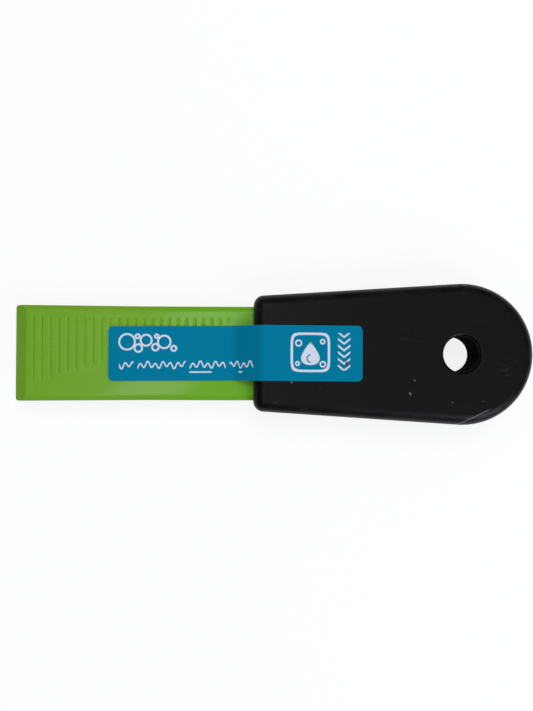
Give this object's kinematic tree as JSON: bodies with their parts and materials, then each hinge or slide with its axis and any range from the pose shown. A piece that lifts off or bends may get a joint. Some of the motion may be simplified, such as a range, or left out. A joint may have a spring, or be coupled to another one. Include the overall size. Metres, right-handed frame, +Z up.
{
  "type": "cleaning scraper",
  "caption": "Hand-held plastic scraper: flat grooved blade with a bevelled edge that slides out of a rounded handle with a hanging hole.",
  "frame": {"origin": "on the surface that the handle's flat underside lies on, under the middle of the tool's overall length and width", "axes": "+X from the blade's edge to the rear of the handle, +Z up from the handle's underside to the face with the label"},
  "size_m": [0.2074, 0.0568, 0.0176],
  "materials": {
    "handle_plastic": "fine matte soft-touch texture",
    "blade_plastic": "semi-gloss moulded, slightly cloudy",
    "spring_steel": "ground and hardened",
    "screw_zinc": "zinc plated",
    "label_film": "glossy printed film"
  },
  "bodies": {
    "handle": {"upper_shell": "handle_plastic", "lower_shell": "handle_plastic", "trimming_strip": "spring_steel", "detent_spring_left": "spring_steel", "detent_spring_right": "spring_steel", "shell_screw_front": "screw_zinc", "shell_screw_left": "screw_zinc", "shell_screw_right": "screw_zinc", "shell_screw_rear": "screw_zinc", "label": "label_film"},
    "blade": {"scraper_blade": "blade_plastic"}
  },
  "joints": [
    {"name": "blade_pull", "type": "slide", "parent": "handle", "child": "blade", "axis": [-1, 0, 0], "range_m": [0, 0.06], "deforming": ["detent_spring_left", "detent_spring_right"]}
  ]
}
